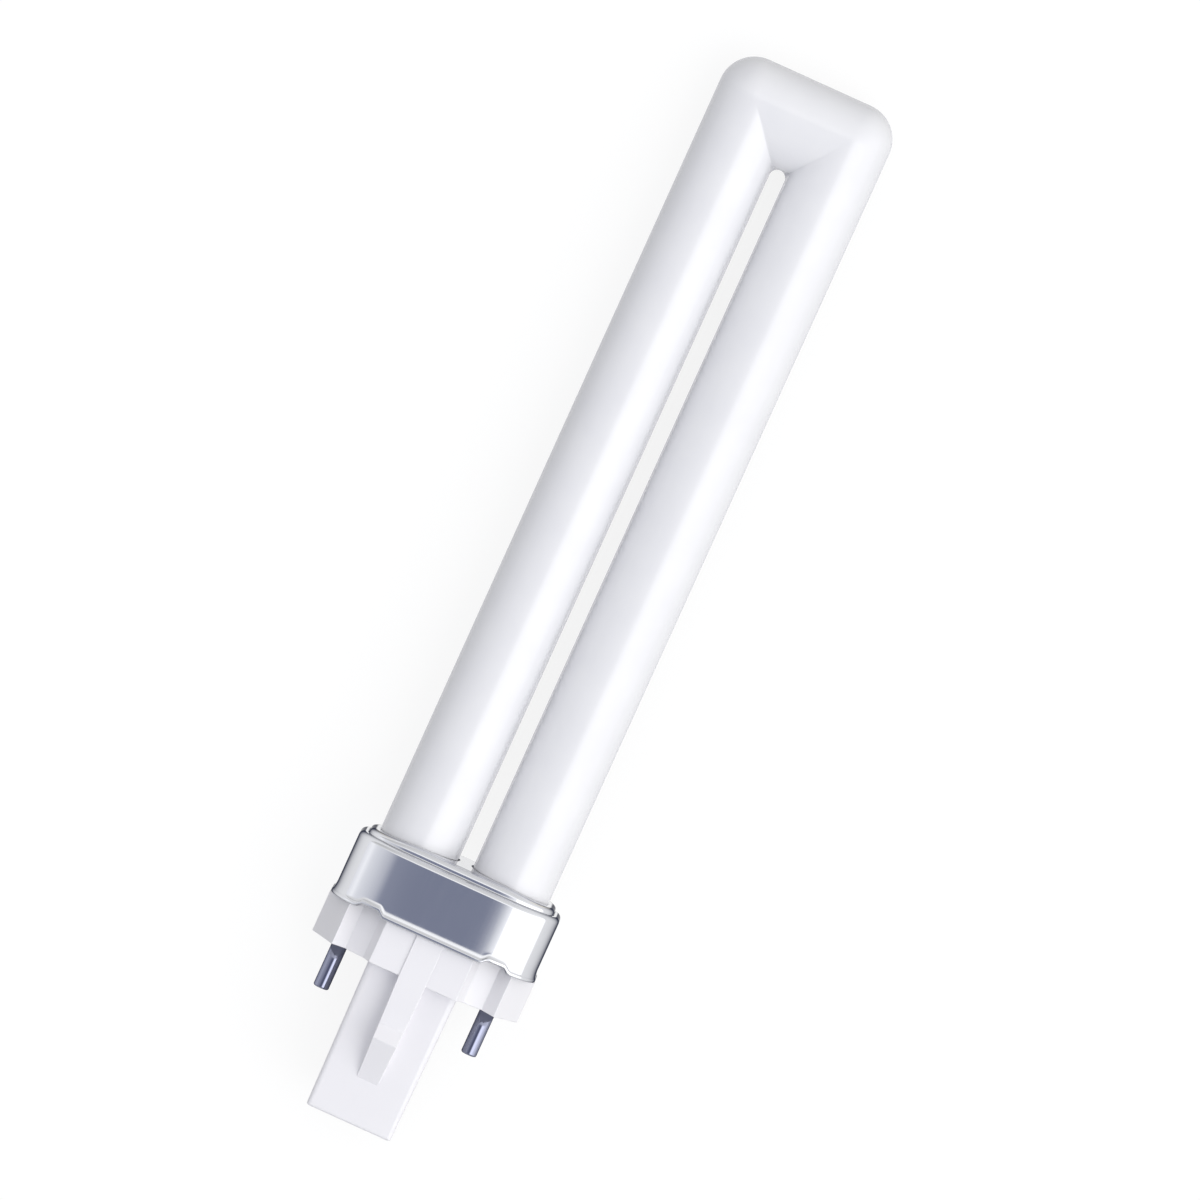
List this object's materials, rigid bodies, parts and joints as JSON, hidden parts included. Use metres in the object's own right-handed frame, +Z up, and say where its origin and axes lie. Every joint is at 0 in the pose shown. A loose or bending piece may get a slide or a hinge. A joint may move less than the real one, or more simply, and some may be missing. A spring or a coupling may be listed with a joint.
{
  "type": "u-shaped compact fluorescent lamp",
  "caption": "Slim U-shaped fluorescent lamp: squared bent glass tube in a drawn metal cap over a white faceted base with a latching post and round contact pins",
  "frame": {"origin": "centre of the bounding box in X and Y, on the floor the lamp rests on", "axes": "+X along the lamp towards the glass tip, +Y across the legs and the pins, +Z up through the thickness"},
  "size_m": [0.1616, 0.0318, 0.0201],
  "materials": {
    "phosphor_glass": "gloss, opaque white coating on the inside",
    "drawn_aluminium": "satin",
    "white_moulding": "satin",
    "capping_cement": "matt",
    "plated_pin": "polished",
    "clear_glass": "clear",
    "bimetal": "satin",
    "lead_wire": "drawn",
    "dipped_epoxy": "gloss"
  },
  "bodies": {
    "root": {"discharge_tube": "phosphor_glass", "cap_shell": "drawn_aluminium", "base_housing": "white_moulding", "capping_cement": "capping_cement", "contact_pin_left": "plated_pin", "contact_pin_right": "plated_pin", "starter_bottle": "clear_glass", "starter_bimetal": "bimetal", "starter_electrode": "lead_wire", "interference_capacitor": "dipped_epoxy", "pin_wire_left": "lead_wire", "pin_wire_right": "lead_wire", "starter_wire_left": "lead_wire", "starter_wire_right": "lead_wire"}
  },
  "joints": []
}
